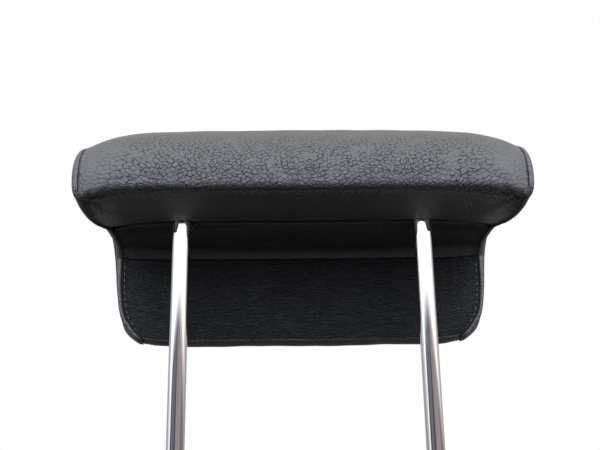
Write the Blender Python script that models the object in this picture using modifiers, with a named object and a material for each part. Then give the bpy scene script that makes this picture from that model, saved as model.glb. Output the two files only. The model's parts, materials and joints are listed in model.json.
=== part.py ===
"""Two-post head restraint for a seat back, built as an assembly of separate parts.

Frame: metres, +Z up, -Y towards the side that the head rests on, +X to the left of a person in the seat.
The origin lies midway between the two post axes, in the plane of the post tips.
The cushion has an L-shaped side view: a thick roll behind and above the posts, and a thin lip that hangs
down in front of them, so the seat back's top edge fits between the lip and the posts.
"""

import math

import bmesh
import bpy
import numpy as np
from mathutils import Matrix, Vector

MM = 0.001

# Driving dimensions
POST_RADIUS = 5.0 * MM
POST_SPACING = 140.0 * MM
POST_REACH = 185.0 * MM  # post tip to the cushion's underside
BEND_RADIUS = 20.0 * MM
CROSSBAR_RISE = 27.0 * MM  # cushion's underside to the crossbar's axis
LEATHER = 1.4 * MM
GAP = 0.4 * MM  # between parts that touch
FOAM_GAP = 1.0 * MM  # between the foam and the leather
WALL = 2.2 * MM  # moulded plastic

# The cushion's outline, seen from the side. Each control point holds, in millimetres: y, height above the
# underside, half width of the cover at the side seam, and how far the outline has moved in y and in height
# by the time it reaches that seam. A smooth curve runs through the points of each stretch.
UNDERSIDE_REAR = (
    (0.0, 0.5, 113.5, -3.0, -2.5),
    (12.0, -0.5, 116.5, -4.0, -3.0),
    (30.0, -2.0, 118.5, -5.0, -3.5),
    (48.0, -2.5, 118.8, -6.5, -3.5),
    (57.5, -1.6, 118.5, -7.0, -3.0),
)
MAIN = (
    (57.5, -1.6, 118.5, -7.0, -3.0),
    (61.5, -1.4, 119.3, -7.5, -2.8),
    (64.2, 0.6, 120.2, -8.0, -2.6),
    (65.2, 4.5, 120.8, -8.0, -2.4),
    (65.0, 11.0, 121.0, -8.0, -2.2),
    (62.6, 18.5, 121.0, -7.0, -2.6),
    (57.5, 26.0, 121.0, -5.5, -4.4),
    (50.5, 33.2, 120.5, -4.2, -6.5),
    (36.0, 41.4, 120.0, -3.0, -8.0),
    (18.0, 50.0, 119.5, -2.0, -9.0),
    (0.0, 57.0, 118.5, -0.5, -10.0),
    (-18.0, 61.5, 117.5, 0.5, -10.5),
    (-36.0, 61.0, 116.5, 3.0, -9.0),
    (-52.0, 53.0, 116.0, 6.0, -7.5),
    (-62.0, 38.0, 115.5, 7.0, -4.0),
    (-66.0, 18.0, 115.5, 6.5, -1.0),
    (-67.0, -8.0, 114.5, 5.5, 0.0),
    (-66.5, -30.0, 113.0, 4.0, 0.0),
    (-64.5, -46.0, 109.0, 2.5, 1.0),
    (-60.0, -56.5, 104.0, 1.5, 2.0),
    (-52.0, -61.8, 100.0, 0.5, 2.5),
    (-44.0, -62.6, 99.0, 0.0, 2.5),
    (-38.5, -60.5, 100.0, 0.0, 2.0),
)
LIP_BACK = (
    (-38.5, -60.5, 100.0, 0.0, 2.0),
    (-38.0, -54.0, 105.0, 0.0, 1.0),
    (-37.8, -44.0, 110.3, 0.0, 0.0),
    (-37.8, -30.0, 112.4, 0.0, 0.0),
    (-37.9, -18.0, 112.8, 0.0, 0.0),
    (-38.2, -10.5, 112.6, 0.0, 1.5),
)
UNDERSIDE_FRONT = (
    (-38.2, -10.5, 112.6, 0.0, 1.5),
    (-33.0, -5.0, 112.3, 0.0, 0.5),
    (-24.0, -1.8, 112.3, -1.0, -1.0),
    (-12.0, 0.0, 112.8, -2.0, -2.0),
    (0.0, 0.5, 113.5, -3.0, -2.5),
)
STRETCHES = (  # control points, and how many facets each stretch gets
    (UNDERSIDE_REAR, 6),
    (MAIN, 36),
    (LIP_BACK, 7),
    (UNDERSIDE_FRONT, 6),
)
END_POWER = 10  # how late the outline moves on its way to the side seam
ACROSS = (0.0, 0.25, 0.5, 0.7, 0.84, 0.93, 1.0)  # share of the half width, mirrored
RINGS = (1.0, 0.85, 0.6, 0.3)  # side panel rings, as shares of the way out from its hub
HUB = (-48.0 * MM, 4.0 * MM)  # y and height that the side panel's rings shrink to
HUB_HALF_WIDTH = 120.5 * MM
BULGE_POWER = 3
SLIT_HALF = 1.4 * MM  # half the gap between the two underside flaps

# Inside the cushion
MOUTH = (102.0 * MM, 10.5 * MM)  # half length and half width of the foam's slot
CARRIER_HALF_LENGTH = 92.0 * MM
CARRIER_DEPTH = 16.0 * MM  # from the parting plane to the outer wall
CARRIER_BOTTOM = 13.0 * MM
CARRIER_TOP = 41.0 * MM
RIB_X = (-50.0 * MM, -30.0 * MM, 0.0, 30.0 * MM, 50.0 * MM)
RIB_THICKNESS = 2.0 * MM
SCREWS = ((-82.0 * MM, 27.0 * MM), (-22.0 * MM, 36.0 * MM), (22.0 * MM, 36.0 * MM), (82.0 * MM, 27.0 * MM))
BOSS_RADIUS = 5.4 * MM
SCREW_SHANK_RADIUS = 1.9 * MM
SCREW_HEAD_RADIUS = 3.9 * MM
SCREW_HEAD_HEIGHT = 2.4 * MM
SCREW_LENGTH = 24.0 * MM
COUNTERBORE_DEPTH = 3.0 * MM
COLLAR_RADIUS = 8.0 * MM
COLLAR_BORE = 6.0 * MM
COLLAR_FLANGE_RADIUS = 9.6 * MM
COLLAR_BOTTOM = 2.4 * MM
COLLAR_TOP = 12.4 * MM
HOOK_SPANS = (("right", -100.0 * MM, -81.0 * MM), ("centre", -59.0 * MM, 59.0 * MM), ("left", 81.0 * MM, 100.0 * MM))
WIRE_RADIUS = 1.25 * MM
WIRE_HALF_LENGTH = 96.0 * MM
WIRE_PLACE = (-43.6 * MM, -5.2 * MM)  # y and height of the tie-down wire
RING_RADIUS = 2.6 * MM
RING_WIRE_RADIUS = 0.7 * MM
RING_X = (-84.0 * MM, -42.0 * MM, 0.0, 42.0 * MM, 84.0 * MM)
GROOVE_WIDTH = 8.4 * MM
GROOVE_DEPTH = 12.0 * MM

# Latch notches, measured from the post tip
NOTCH_HEIGHT = 5.0 * MM
NOTCH_DEPTH = 1.9 * MM
LEFT_NOTCHES = (16.0 * MM, 34.0 * MM, 52.0 * MM)
RIGHT_NOTCHES = (16.0 * MM,)
TIP_CHAMFER = 1.5 * MM

PARTS = "head_restraint"
CUTTERS = "cutters"


# ---------------------------------------------------------------- scene helpers


def clear_scene():
    for obj in list(bpy.data.objects):
        bpy.data.objects.remove(obj)
    for name in (PARTS, CUTTERS):
        collection = bpy.data.collections.new(name)
        bpy.context.scene.collection.children.link(collection)


def make_material(name, colour, roughness, metallic=0.0):
    material = bpy.data.materials.new(name)
    material.use_nodes = True
    shader = material.node_tree.nodes["Principled BSDF"]
    shader.inputs["Base Color"].default_value = (*colour, 1.0)
    shader.inputs["Roughness"].default_value = roughness
    shader.inputs["Metallic"].default_value = metallic
    return material


def place(obj, name, collection=PARTS, material=None):
    """Puts obj in one collection only, under its name, with its material."""
    for other in list(obj.users_collection):
        other.objects.unlink(obj)
    bpy.data.collections[collection].objects.link(obj)
    obj.name = name
    if collection == CUTTERS:
        obj.hide_render = True
        obj.display_type = "WIRE"
    if material:
        obj.data.materials.append(material)
    return obj


def from_bmesh(bm, name, collection=PARTS, material=None):
    bmesh.ops.recalc_face_normals(bm, faces=bm.faces)
    mesh = bpy.data.meshes.new(name)
    bm.to_mesh(mesh)
    bm.free()
    return place(bpy.data.objects.new(name, mesh), name, collection, material)


def box(name, low, high, collection=PARTS, material=None):
    """A box between two corners, as a cube primitive."""
    middle = [(a + b) / 2 for a, b in zip(low, high)]
    bpy.ops.mesh.primitive_cube_add(size=1.0, location=middle)
    obj = bpy.context.active_object
    obj.scale = [b - a for a, b in zip(low, high)]
    bpy.ops.object.transform_apply(location=False, rotation=False, scale=True)
    return place(obj, name, collection, material)


def cylinder(name, radius, start, length, axis="Z", sides=20, collection=PARTS, material=None):
    """A cylinder from the point start, along +Z or +Y."""
    turn = (0.0, 0.0, 0.0) if axis == "Z" else (-math.pi / 2, 0.0, 0.0)
    middle = list(start)
    middle["XYZ".index(axis)] += length / 2
    bpy.ops.mesh.primitive_cylinder_add(vertices=sides, radius=radius, depth=length, location=middle, rotation=turn)
    return place(bpy.context.active_object, name, collection, material)


def boolean(obj, other, operation="DIFFERENCE"):
    """Cuts other from obj, or joins it. other moves to the cutters' collection."""
    place(other, other.name, CUTTERS)
    modifier = obj.modifiers.new(f"{operation.lower()} {other.name}", "BOOLEAN")
    modifier.operation = operation
    modifier.solver = "EXACT"
    modifier.object = other


def shade_round(obj, degrees=40.0):
    obj.data.shade_smooth()
    obj.data.set_sharp_from_angle(angle=math.radians(degrees))


def height(above_underside):
    """World z of a height above the cushion's underside."""
    return POST_REACH + above_underside


# ---------------------------------------------------------------- the cushion's outline


def smooth_curve(points, facets):
    """Evenly spaced points on the Catmull-Rom curve through the given ones."""
    points = np.array(points, float)
    padded = np.vstack([2 * points[0] - points[1], points, 2 * points[-1] - points[-2]])
    steps = np.linspace(0.0, 1.0, 13)[:, None]
    pieces = []
    for a, b, c, d in zip(padded, padded[1:], padded[2:], padded[3:]):
        pieces.append(
            0.5 * (2 * b + (c - a) * steps + (2 * a - 5 * b + 4 * c - d) * steps**2 + (3 * b - a - 3 * c + d) * steps**3)
        )
    fine = np.vstack(pieces)
    travelled = np.concatenate([[0.0], np.cumsum(np.linalg.norm(np.diff(fine[:, :2], axis=0), axis=1))])
    wanted = np.linspace(0.0, travelled[-1], facets + 1)
    return np.column_stack([np.interp(wanted, travelled, column) for column in fine.T])


def build_outline():
    """The closed outline's stations, and the station number where each stretch starts."""
    stations, starts = [], []
    for points, facets in STRETCHES:
        starts.append(len(stations))
        stations.extend(smooth_curve(points, facets)[:-1] * MM)
    return np.array(stations), starts


def outline_normals(stations):
    """Outward directions at the stations, lengthened at corners so that a shell keeps its thickness."""
    points = stations[:, :2]
    along = np.roll(points, -1, axis=0) - points
    along /= np.linalg.norm(along, axis=1)[:, None]
    after = np.column_stack([along[:, 1], -along[:, 0]])
    before = np.roll(after, 1, axis=0)
    mean = before + after
    mean /= np.linalg.norm(mean, axis=1)[:, None]
    stretch = np.clip(1.0 / np.sum(mean * after, axis=1), 1.0, 1.5)
    return mean * stretch[:, None]


STATIONS, STARTS = build_outline()
NORMALS = outline_normals(STATIONS)
COUNT = len(STATIONS)


def station_point(index, across, depth):
    """A point of the cover at a station, at a share of the half width, some depth below its surface."""
    y, z, half_width, end_y, end_z = STATIONS[index % COUNT]
    out_y, out_z = NORMALS[index % COUNT]
    late = abs(across) ** END_POWER
    return np.array([
        across * (half_width - depth),
        y + end_y * late - out_y * depth,
        height(z + end_z * late - out_z * depth),
    ])


def skin_point(place_along, across, depth):
    """station_point for a place between two stations."""
    index = math.floor(place_along)
    share = place_along - index
    return (1 - share) * station_point(index, across, depth) + share * station_point(index + 1, across, depth)


def facet_length(index):
    a, b = STATIONS[index % COUNT], STATIONS[(index + 1) % COUNT]
    return math.hypot(b[0] - a[0], b[1] - a[1])


def side_point(index, ring, side, depth):
    """A point of the side panel. side is 1 for the left panel and -1 for the right one."""
    rim = station_point(index, side, depth)
    hub = np.array([side * (HUB_HALF_WIDTH - depth), HUB[0], height(HUB[1])])
    point = hub + (rim - hub) * ring
    point[0] = hub[0] + (rim[0] - hub[0]) * ring**BULGE_POWER
    return point


# ---------------------------------------------------------------- cover and foam


def shell(name, outer, inner, material):
    """A closed shell between two grids of points that have the same rows and columns."""
    bm = bmesh.new()
    layers = [[[bm.verts.new(p) for p in row] for row in grid] for grid in (outer, inner)]
    rows, columns = len(outer), len(outer[0])
    for layer in layers:
        for r in range(rows - 1):
            for c in range(columns - 1):
                bm.faces.new((layer[r][c], layer[r][c + 1], layer[r + 1][c + 1], layer[r + 1][c]))
    rim = [(0, c) for c in range(columns)] + [(r, columns - 1) for r in range(1, rows)]
    rim += [(rows - 1, c) for c in range(columns - 2, -1, -1)] + [(r, 0) for r in range(rows - 2, 0, -1)]
    for (r0, c0), (r1, c1) in zip(rim, rim[1:] + rim[:1]):
        bm.faces.new((layers[0][r0][c0], layers[0][r1][c1], layers[1][r1][c1], layers[1][r0][c0]))
    obj = from_bmesh(bm, name, material=material)
    shade_round(obj)
    return obj


def cover_panel(name, stretch, material, first_gap=GAP / 2, last_gap=GAP / 2):
    """One leather panel that runs across the cushion between two seams of the outline."""
    first = STARTS[stretch]
    last = first + STRETCHES[stretch][1]
    places = [first + first_gap / facet_length(first), *range(first + 1, last)]
    places.append(last - last_gap / facet_length(last - 1))
    edge = 1.0 - GAP / (STATIONS[first][2])
    shares = [*ACROSS[:-1], edge]
    across = [-s for s in reversed(shares[1:])] + shares
    grids = [[[skin_point(p, a, depth) for a in across] for p in places] for depth in (0.0, LEATHER)]
    return shell(name, *grids, material)


def side_panel(name, side, material):
    """The gusset that closes one end of the cushion: rings that shrink to a hub."""
    bm = bmesh.new()
    layers = []
    for depth in (0.0, LEATHER):
        rings = []
        for ring in RINGS:
            ring -= 0.5 * GAP / (30.0 * MM) if ring == 1.0 else 0.0
            rings.append([bm.verts.new(side_point(i, ring, side, depth)) for i in range(COUNT)])
        hub = bm.verts.new(side_point(0, 0.0, side, depth))
        layers.append((rings, hub))
        for wide, narrow in zip(rings, rings[1:]):
            for i in range(COUNT):
                j = (i + 1) % COUNT
                bm.faces.new((wide[i], wide[j], narrow[j], narrow[i]))
        for i in range(COUNT):
            bm.faces.new((rings[-1][i], rings[-1][(i + 1) % COUNT], hub))
    outer, inner = layers[0][0][0], layers[1][0][0]
    for i in range(COUNT):
        j = (i + 1) % COUNT
        bm.faces.new((outer[i], outer[j], inner[j], inner[i]))
    obj = from_bmesh(bm, name, material=material)
    shade_round(obj)
    return obj


def foam_pad(material):
    """The one-piece moulded foam: the cushion's shape under the leather, with a cavity for the carrier."""
    depth = LEATHER + FOAM_GAP
    bm = bmesh.new()
    across = [-s for s in reversed(ACROSS[1:])] + list(ACROSS)
    belt = [[bm.verts.new(station_point(i, a, depth)) for a in across] for i in range(COUNT)]
    for i in range(COUNT):
        following = belt[(i + 1) % COUNT]
        for c in range(len(across) - 1):
            bm.faces.new((belt[i][c], belt[i][c + 1], following[c + 1], following[c]))
    for side, column in ((-1, 0), (1, -1)):
        rings = [[row[column] for row in belt]]
        for ring in RINGS[1:]:
            rings.append([bm.verts.new(side_point(i, ring, side, depth)) for i in range(COUNT)])
        hub = bm.verts.new(side_point(0, 0.0, side, depth))
        for wide, narrow in zip(rings, rings[1:]):
            for i in range(COUNT):
                j = (i + 1) % COUNT
                bm.faces.new((wide[i], wide[j], narrow[j], narrow[i]))
        for i in range(COUNT):
            bm.faces.new((rings[-1][i], rings[-1][(i + 1) % COUNT], hub))
    foam = from_bmesh(bm, "foam_pad", material=material)
    shade_round(foam)

    clear = 1.0 * MM
    length, width = MOUTH
    boolean(foam, box("foam_mouth", (-length, -width, height(-8 * MM)), (length, width, height(CARRIER_BOTTOM))))
    reach = (CARRIER_HALF_LENGTH + clear, CARRIER_DEPTH + clear)
    boolean(
        foam,
        box(
            "foam_cavity",
            (-reach[0], -reach[1], height(CARRIER_BOTTOM - clear)),
            (reach[0], reach[1], height(CARRIER_TOP + clear)),
        ),
    )
    groove_half = WIRE_HALF_LENGTH + 3 * MM
    groove = box(
        "foam_groove",
        (-groove_half, -GROOVE_WIDTH / 2, -GROOVE_DEPTH),
        (groove_half, GROOVE_WIDTH / 2, 4 * MM),
    )
    corner = Vector((0.0, LIP_BACK[-1][0] * MM, height(LIP_BACK[-1][1] * MM)))
    turn = Matrix.Rotation(math.radians(-135.0), 3, "X")
    groove.location = corner + turn @ groove.location
    groove.rotation_euler = turn.to_euler()
    boolean(foam, groove)
    return foam


def cut_post_notches(panel):
    """Half-round cut-outs that let a flap of the cover close round the two posts."""
    for side in (-1, 1):
        start = (side * POST_SPACING / 2, 0.0, height(-12 * MM))
        boolean(panel, cylinder(f"{panel.name}_notch_{side}", POST_RADIUS + 0.6 * MM, start, 24 * MM))


def build_cover(leather):
    cover_panel("cover_main_panel", 1, leather)
    cover_panel("cover_lip_back", 2, leather)
    cut_post_notches(cover_panel("cover_underside_rear", 0, leather, first_gap=SLIT_HALF))
    cut_post_notches(cover_panel("cover_underside_front", 3, leather, last_gap=SLIT_HALF))
    side_panel("cover_side_left", 1, leather)
    side_panel("cover_side_right", -1, leather)


# ---------------------------------------------------------------- posts


def frame_path():
    """The bent bar's centre line from the left tip to the right one: (x, z, share of the full radius)."""
    half, top = POST_SPACING / 2, height(CROSSBAR_RISE)
    left = [(half, 0.0, 1 - TIP_CHAMFER / POST_RADIUS), (half, TIP_CHAMFER, 1.0)]
    turns = 9
    for step in range(turns + 1):
        angle = math.pi / 2 * step / turns
        x = half - BEND_RADIUS * (1 - math.cos(angle))
        left.append((x, top - BEND_RADIUS * (1 - math.sin(angle)), 1.0))
    return left + [(-x, z, r) for x, z, r in reversed(left)]


def bar(name, radius, collection, material=None):
    """The bent bar as a closed mesh of the given radius."""
    curve = bpy.data.curves.new(name, "CURVE")
    curve.dimensions = "3D"
    curve.bevel_depth = radius
    curve.bevel_resolution = 8
    curve.use_fill_caps = True
    spline = curve.splines.new("POLY")
    path = frame_path()
    spline.points.add(len(path) - 1)
    for point, (x, z, share) in zip(spline.points, path):
        point.co = (x, 0.0, z, 1.0)
        point.radius = share
    guide = bpy.data.objects.new(name, curve)
    bpy.context.scene.collection.objects.link(guide)
    graph = bpy.context.evaluated_depsgraph_get()
    mesh = bpy.data.meshes.new_from_object(guide.evaluated_get(graph))
    bpy.data.objects.remove(guide)
    bm = bmesh.new()
    bm.from_mesh(mesh)
    bmesh.ops.remove_doubles(bm, verts=bm.verts, dist=1e-5)
    bpy.data.meshes.remove(mesh)
    return from_bmesh(bm, name, collection, material)


def notch_cutter(side, up):
    """A wedge that leaves a flat shelf at the notch's top and a ramp below it, on the post's outer side."""
    outer = POST_SPACING / 2 + POST_RADIUS
    bm = bmesh.new()
    outline = ((outer + 1 * MM, up), (outer - NOTCH_DEPTH, up), (outer - NOTCH_DEPTH, up - NOTCH_HEIGHT / 2))
    outline += ((outer + 1 * MM, up - NOTCH_HEIGHT),)
    half = POST_RADIUS + 1 * MM
    front = [bm.verts.new((side * x, -half, z)) for x, z in outline]
    back = [bm.verts.new((side * x, half, z)) for x, z in outline]
    bm.faces.new(front)
    bm.faces.new(back)
    for i in range(len(outline)):
        j = (i + 1) % len(outline)
        bm.faces.new((front[i], front[j], back[j], back[i]))
    return from_bmesh(bm, f"latch_notch_{side}_{round(up / MM)}", CUTTERS)


def build_posts(chrome):
    frame = bar("post_frame", POST_RADIUS, PARTS, chrome)
    shade_round(frame)
    for side, notches in ((1, LEFT_NOTCHES), (-1, RIGHT_NOTCHES)):
        for up in notches:
            boolean(frame, notch_cutter(side, up))


# ---------------------------------------------------------------- carrier, collars, closure, tie-down


def carrier_shell(name, side, material):
    """One half of the moulded carrier that clamps the bar. side is 1 for the rear half and -1 for the front."""

    def span(near, far):
        return (near, far) if side > 0 else (-far, -near)

    near = GAP / 2
    low, high = height(CARRIER_BOTTOM), height(CARRIER_TOP)
    y0, y1 = span(near, CARRIER_DEPTH)
    tray = box(name, (-CARRIER_HALF_LENGTH, y0, low), (CARRIER_HALF_LENGTH, y1, high), material=material)
    y0, y1 = span(-1 * MM, CARRIER_DEPTH - WALL)
    inner = CARRIER_HALF_LENGTH - WALL
    boolean(tray, box(f"{name}_hollow", (-inner, y0, low + WALL), (inner, y1, high - WALL)))
    y0, y1 = span(near, CARRIER_DEPTH - WALL / 2)
    for i, x in enumerate(RIB_X):
        rib = box(
            f"{name}_rib_{i}",
            (x - RIB_THICKNESS / 2, y0, low + WALL / 2),
            (x + RIB_THICKNESS / 2, y1, high - WALL / 2),
        )
        boolean(tray, rib, "UNION")
    for i, (x, z) in enumerate(SCREWS):
        boss = cylinder(f"{name}_boss_{i}", BOSS_RADIUS, (x, y0, height(z)), y1 - y0, "Y")
        boolean(tray, boss, "UNION")
    boolean(tray, bar(f"{name}_bar_seat", POST_RADIUS + 0.35 * MM, CUTTERS))
    hole_radius = SCREW_SHANK_RADIUS + 0.35 * MM
    for i, (x, z) in enumerate(SCREWS):
        y0, y1 = (-1 * MM, CARRIER_DEPTH + 1 * MM) if side > 0 else (WALL - CARRIER_DEPTH, 1 * MM)
        boolean(tray, cylinder(f"{name}_hole_{i}", hole_radius, (x, y0, height(z)), y1 - y0, "Y", 16))
        if side > 0:
            y0 = CARRIER_DEPTH - COUNTERBORE_DEPTH
            sink = cylinder(f"{name}_sink_{i}", SCREW_HEAD_RADIUS + 0.4 * MM, (x, y0, height(z)), 5 * MM, "Y")
            boolean(tray, sink)
    return tray


def build_screws(steel):
    """Pan-head screws, driven in from the rear shell. Each is a turned profile, head first."""
    head_face = CARRIER_DEPTH - COUNTERBORE_DEPTH + GAP
    profile = (
        (0.0, SCREW_HEAD_HEIGHT),
        (SCREW_HEAD_RADIUS * 0.6, SCREW_HEAD_HEIGHT),
        (SCREW_HEAD_RADIUS, SCREW_HEAD_HEIGHT * 0.45),
        (SCREW_HEAD_RADIUS, 0.0),
        (SCREW_SHANK_RADIUS, 0.0),
        (SCREW_SHANK_RADIUS, -SCREW_LENGTH + 2 * MM),
        (0.0, -SCREW_LENGTH),
    )
    mesh = bpy.data.meshes.new("screw")
    mesh.from_pydata([(x, 0.0, z) for x, z in profile], [(i, i + 1) for i in range(len(profile) - 1)], [])
    mesh.materials.append(steel)
    for i, (x, z) in enumerate(SCREWS):
        screw = place(bpy.data.objects.new("screw", mesh), f"carrier_screw_{i + 1}")
        screw.location = (x, head_face, height(z))
        screw.rotation_euler = (-math.pi / 2, 0.0, 0.0)
        turn = screw.modifiers.new("turn", "SCREW")
        turn.steps = turn.render_steps = 16
        turn.use_merge_vertices = True
        turn.merge_threshold = 0.00001


def build_collars(plastic):
    """Flanged bushes round the posts where they leave the carrier."""
    profile = (
        (COLLAR_BORE, 0.0),
        (COLLAR_BORE, COLLAR_TOP - COLLAR_BOTTOM),
        (COLLAR_RADIUS, COLLAR_TOP - COLLAR_BOTTOM),
        (COLLAR_RADIUS, 1.4 * MM),
        (COLLAR_FLANGE_RADIUS, 1.4 * MM),
        (COLLAR_FLANGE_RADIUS, 0.0),
    )
    mesh = bpy.data.meshes.new("collar")
    edges = [(i, (i + 1) % len(profile)) for i in range(len(profile))]
    mesh.from_pydata([(x, 0.0, z) for x, z in profile], edges, [])
    mesh.materials.append(plastic)
    for name, side in (("left", 1), ("right", -1)):
        collar = place(bpy.data.objects.new("collar", mesh), f"post_collar_{name}")
        collar.location = (side * POST_SPACING / 2, 0.0, height(COLLAR_BOTTOM))
        turn = collar.modifiers.new("turn", "SCREW")
        turn.steps = turn.render_steps = 20
        turn.use_merge_vertices = True
        turn.merge_threshold = 0.00001


def hook_strip(name, outline, start, end, material):
    """An extruded strip that runs along X. outline holds (y, height) corners in millimetres."""
    curve = bpy.data.curves.new(name, "CURVE")
    curve.dimensions = "2D"
    curve.fill_mode = "BOTH"
    curve.extrude = (end - start) / 2
    spline = curve.splines.new("POLY")
    spline.points.add(len(outline) - 1)
    spline.use_cyclic_u = True
    for point, (y, z) in zip(spline.points, outline):
        point.co = (y * MM, z * MM, 0.0, 1.0)
    obj = place(bpy.data.objects.new(name, curve), name, material=material)
    obj.location = ((start + end) / 2, 0.0, height(0.0))
    obj.rotation_euler = (math.pi / 2, 0.0, math.pi / 2)
    weld = obj.modifiers.new("close caps", "WELD")
    weld.merge_threshold = 0.00001


def build_closure(plastic):
    """Two J-section strips per span. Each holds one flap's edge, and they hook into each other in the slit."""
    rear = ((4.0, 2.3), (4.0, 5.0), (-0.4, 5.0), (-0.4, 8.2), (-1.6, 8.2), (-1.6, 3.8), (2.8, 3.8), (2.8, 2.3))
    front = ((-4.0, 2.3), (-2.8, 2.3), (-2.8, 9.0), (0.4, 9.0), (0.4, 6.0), (1.6, 6.0), (1.6, 10.2), (-4.0, 10.2))
    for where, start, end in HOOK_SPANS:
        hook_strip(f"closure_rear_{where}", rear, start, end, plastic)
        hook_strip(f"closure_front_{where}", front, start, end, plastic)


def build_tie_down(steel):
    """The wire that holds the inside corner's seam down, and the rings that tie the cover to it."""
    y, z = WIRE_PLACE
    wire = cylinder("tie_down_wire", WIRE_RADIUS, (0.0, 0.0, -WIRE_HALF_LENGTH), 2 * WIRE_HALF_LENGTH, "Z", 12)
    wire.data.materials.append(steel)
    wire.rotation_euler = (0.0, math.pi / 2, 0.0)
    wire.location = (0.0, y, height(z))
    for i, x in enumerate(RING_X):
        bpy.ops.mesh.primitive_torus_add(
            major_radius=RING_RADIUS,
            minor_radius=RING_WIRE_RADIUS,
            major_segments=16,
            minor_segments=8,
            location=(x, y, height(z)),
            rotation=(0.0, math.pi / 2, 0.0),
        )
        place(bpy.context.active_object, f"hog_ring_{i + 1}", material=steel)


def main():
    clear_scene()
    leather = make_material("leather_black", (0.018, 0.018, 0.020), 0.45)
    chrome = make_material("chrome", (0.78, 0.79, 0.80), 0.06, 1.0)
    foam = make_material("foam", (0.55, 0.52, 0.42), 0.9)
    carrier_plastic = make_material("carrier_plastic", (0.05, 0.05, 0.055), 0.5)
    trim_plastic = make_material("trim_plastic", (0.02, 0.02, 0.02), 0.4)
    steel = make_material("zinc_steel", (0.55, 0.56, 0.58), 0.35, 1.0)
    build_cover(leather)
    foam_pad(foam)
    build_posts(chrome)
    carrier_shell("carrier_shell_rear", 1, carrier_plastic)
    carrier_shell("carrier_shell_front", -1, carrier_plastic)
    build_screws(steel)
    build_collars(trim_plastic)
    build_closure(trim_plastic)
    build_tie_down(steel)


main()
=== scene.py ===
"""The looks of a two-post head restraint: its sewn leather cover, stitches, foam, posts, light and camera.

The leather panels start from the same outline as the CAD cover. They are sewn into one closed skin, which is
blown up by a cloth simulation with its seams held. Each panel then gets a fine mesh with rolled seam edges.
Lengths in the tables are millimetres. Everything else is metres: +Z up, -Y to the front, +X to the left.
"""

import json
import math

import bmesh
import bpy
import numpy as np
from mathutils import Matrix, Vector
from mathutils.geometry import delaunay_2d_cdt

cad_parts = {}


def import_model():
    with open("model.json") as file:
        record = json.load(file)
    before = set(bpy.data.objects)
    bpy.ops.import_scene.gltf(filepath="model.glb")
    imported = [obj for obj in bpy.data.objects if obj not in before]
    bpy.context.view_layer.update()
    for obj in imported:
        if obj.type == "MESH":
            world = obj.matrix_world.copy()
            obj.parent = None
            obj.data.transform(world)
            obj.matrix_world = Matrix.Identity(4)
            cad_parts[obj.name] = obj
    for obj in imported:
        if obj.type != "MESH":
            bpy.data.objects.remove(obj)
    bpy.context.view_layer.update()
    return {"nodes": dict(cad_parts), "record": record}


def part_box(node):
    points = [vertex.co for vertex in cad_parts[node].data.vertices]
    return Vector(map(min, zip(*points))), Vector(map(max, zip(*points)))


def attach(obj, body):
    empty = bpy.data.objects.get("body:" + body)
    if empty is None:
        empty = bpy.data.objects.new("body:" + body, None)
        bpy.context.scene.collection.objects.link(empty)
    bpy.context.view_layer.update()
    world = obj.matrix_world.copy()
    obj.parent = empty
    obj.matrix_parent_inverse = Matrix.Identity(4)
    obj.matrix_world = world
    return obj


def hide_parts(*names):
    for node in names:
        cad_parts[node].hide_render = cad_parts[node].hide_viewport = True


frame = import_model()

MM = 0.001

# From the frame
POST_LOW, POST_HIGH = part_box("post_frame")
POST_RADIUS = (POST_HIGH.y - POST_LOW.y) / 2
POST_X = POST_HIGH.x - POST_RADIUS
COLLAR_LIFT = 2.4 * MM  # the collars' flanges above the cushion's underside
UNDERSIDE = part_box("post_collar_left")[0].z - COLLAR_LIFT

# The cushion's outline from the side, as in the CAD. Each point holds y, height above the underside, half
# width at the side seam, and how far the outline has moved in y and in height where it reaches that seam.
UNDERSIDE_REAR = (
    (0.0, 0.5, 113.5, -3.0, -2.5),
    (12.0, -0.5, 116.5, -4.0, -3.0),
    (30.0, -2.0, 118.5, -5.0, -3.5),
    (48.0, -2.5, 118.8, -6.5, -3.5),
    (57.5, -1.6, 118.5, -7.0, -3.0),
)
MAIN = (
    (57.5, -1.6, 118.5, -7.0, -3.0),
    (61.5, -1.4, 119.3, -7.5, -2.8),
    (64.2, 0.6, 120.2, -8.0, -2.6),
    (65.2, 4.5, 120.8, -8.0, -2.4),
    (65.0, 11.0, 121.0, -8.0, -2.2),
    (62.6, 18.5, 121.0, -7.0, -2.6),
    (57.5, 26.0, 121.0, -5.5, -4.4),
    (50.5, 33.2, 120.5, -4.2, -6.5),
    (36.0, 41.4, 120.0, -3.0, -8.0),
    (18.0, 50.0, 119.5, -2.0, -9.0),
    (0.0, 57.0, 118.5, -0.5, -10.0),
    (-18.0, 61.5, 117.5, 0.5, -10.5),
    (-36.0, 61.0, 116.5, 3.0, -9.0),
    (-52.0, 53.0, 116.0, 6.0, -7.5),
    (-62.0, 38.0, 115.5, 7.0, -4.0),
    (-66.0, 18.0, 115.5, 6.5, -1.0),
    (-67.0, -8.0, 114.5, 5.5, 0.0),
    (-66.5, -30.0, 113.0, 4.0, 0.0),
    (-64.5, -46.0, 109.0, 2.5, 1.0),
    (-60.0, -56.5, 104.0, 1.5, 2.0),
    (-52.0, -61.8, 100.0, 0.5, 2.5),
    (-44.0, -62.6, 99.0, 0.0, 2.5),
    (-38.5, -60.5, 100.0, 0.0, 2.0),
)
LIP_BACK = (
    (-38.5, -60.5, 100.0, 0.0, 2.0),
    (-38.0, -54.0, 105.0, 0.0, 1.0),
    (-37.8, -44.0, 110.3, 0.0, 0.0),
    (-37.8, -30.0, 112.4, 0.0, 0.0),
    (-37.9, -18.0, 112.8, 0.0, 0.0),
    (-38.2, -10.5, 112.6, 0.0, 1.5),
)
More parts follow.
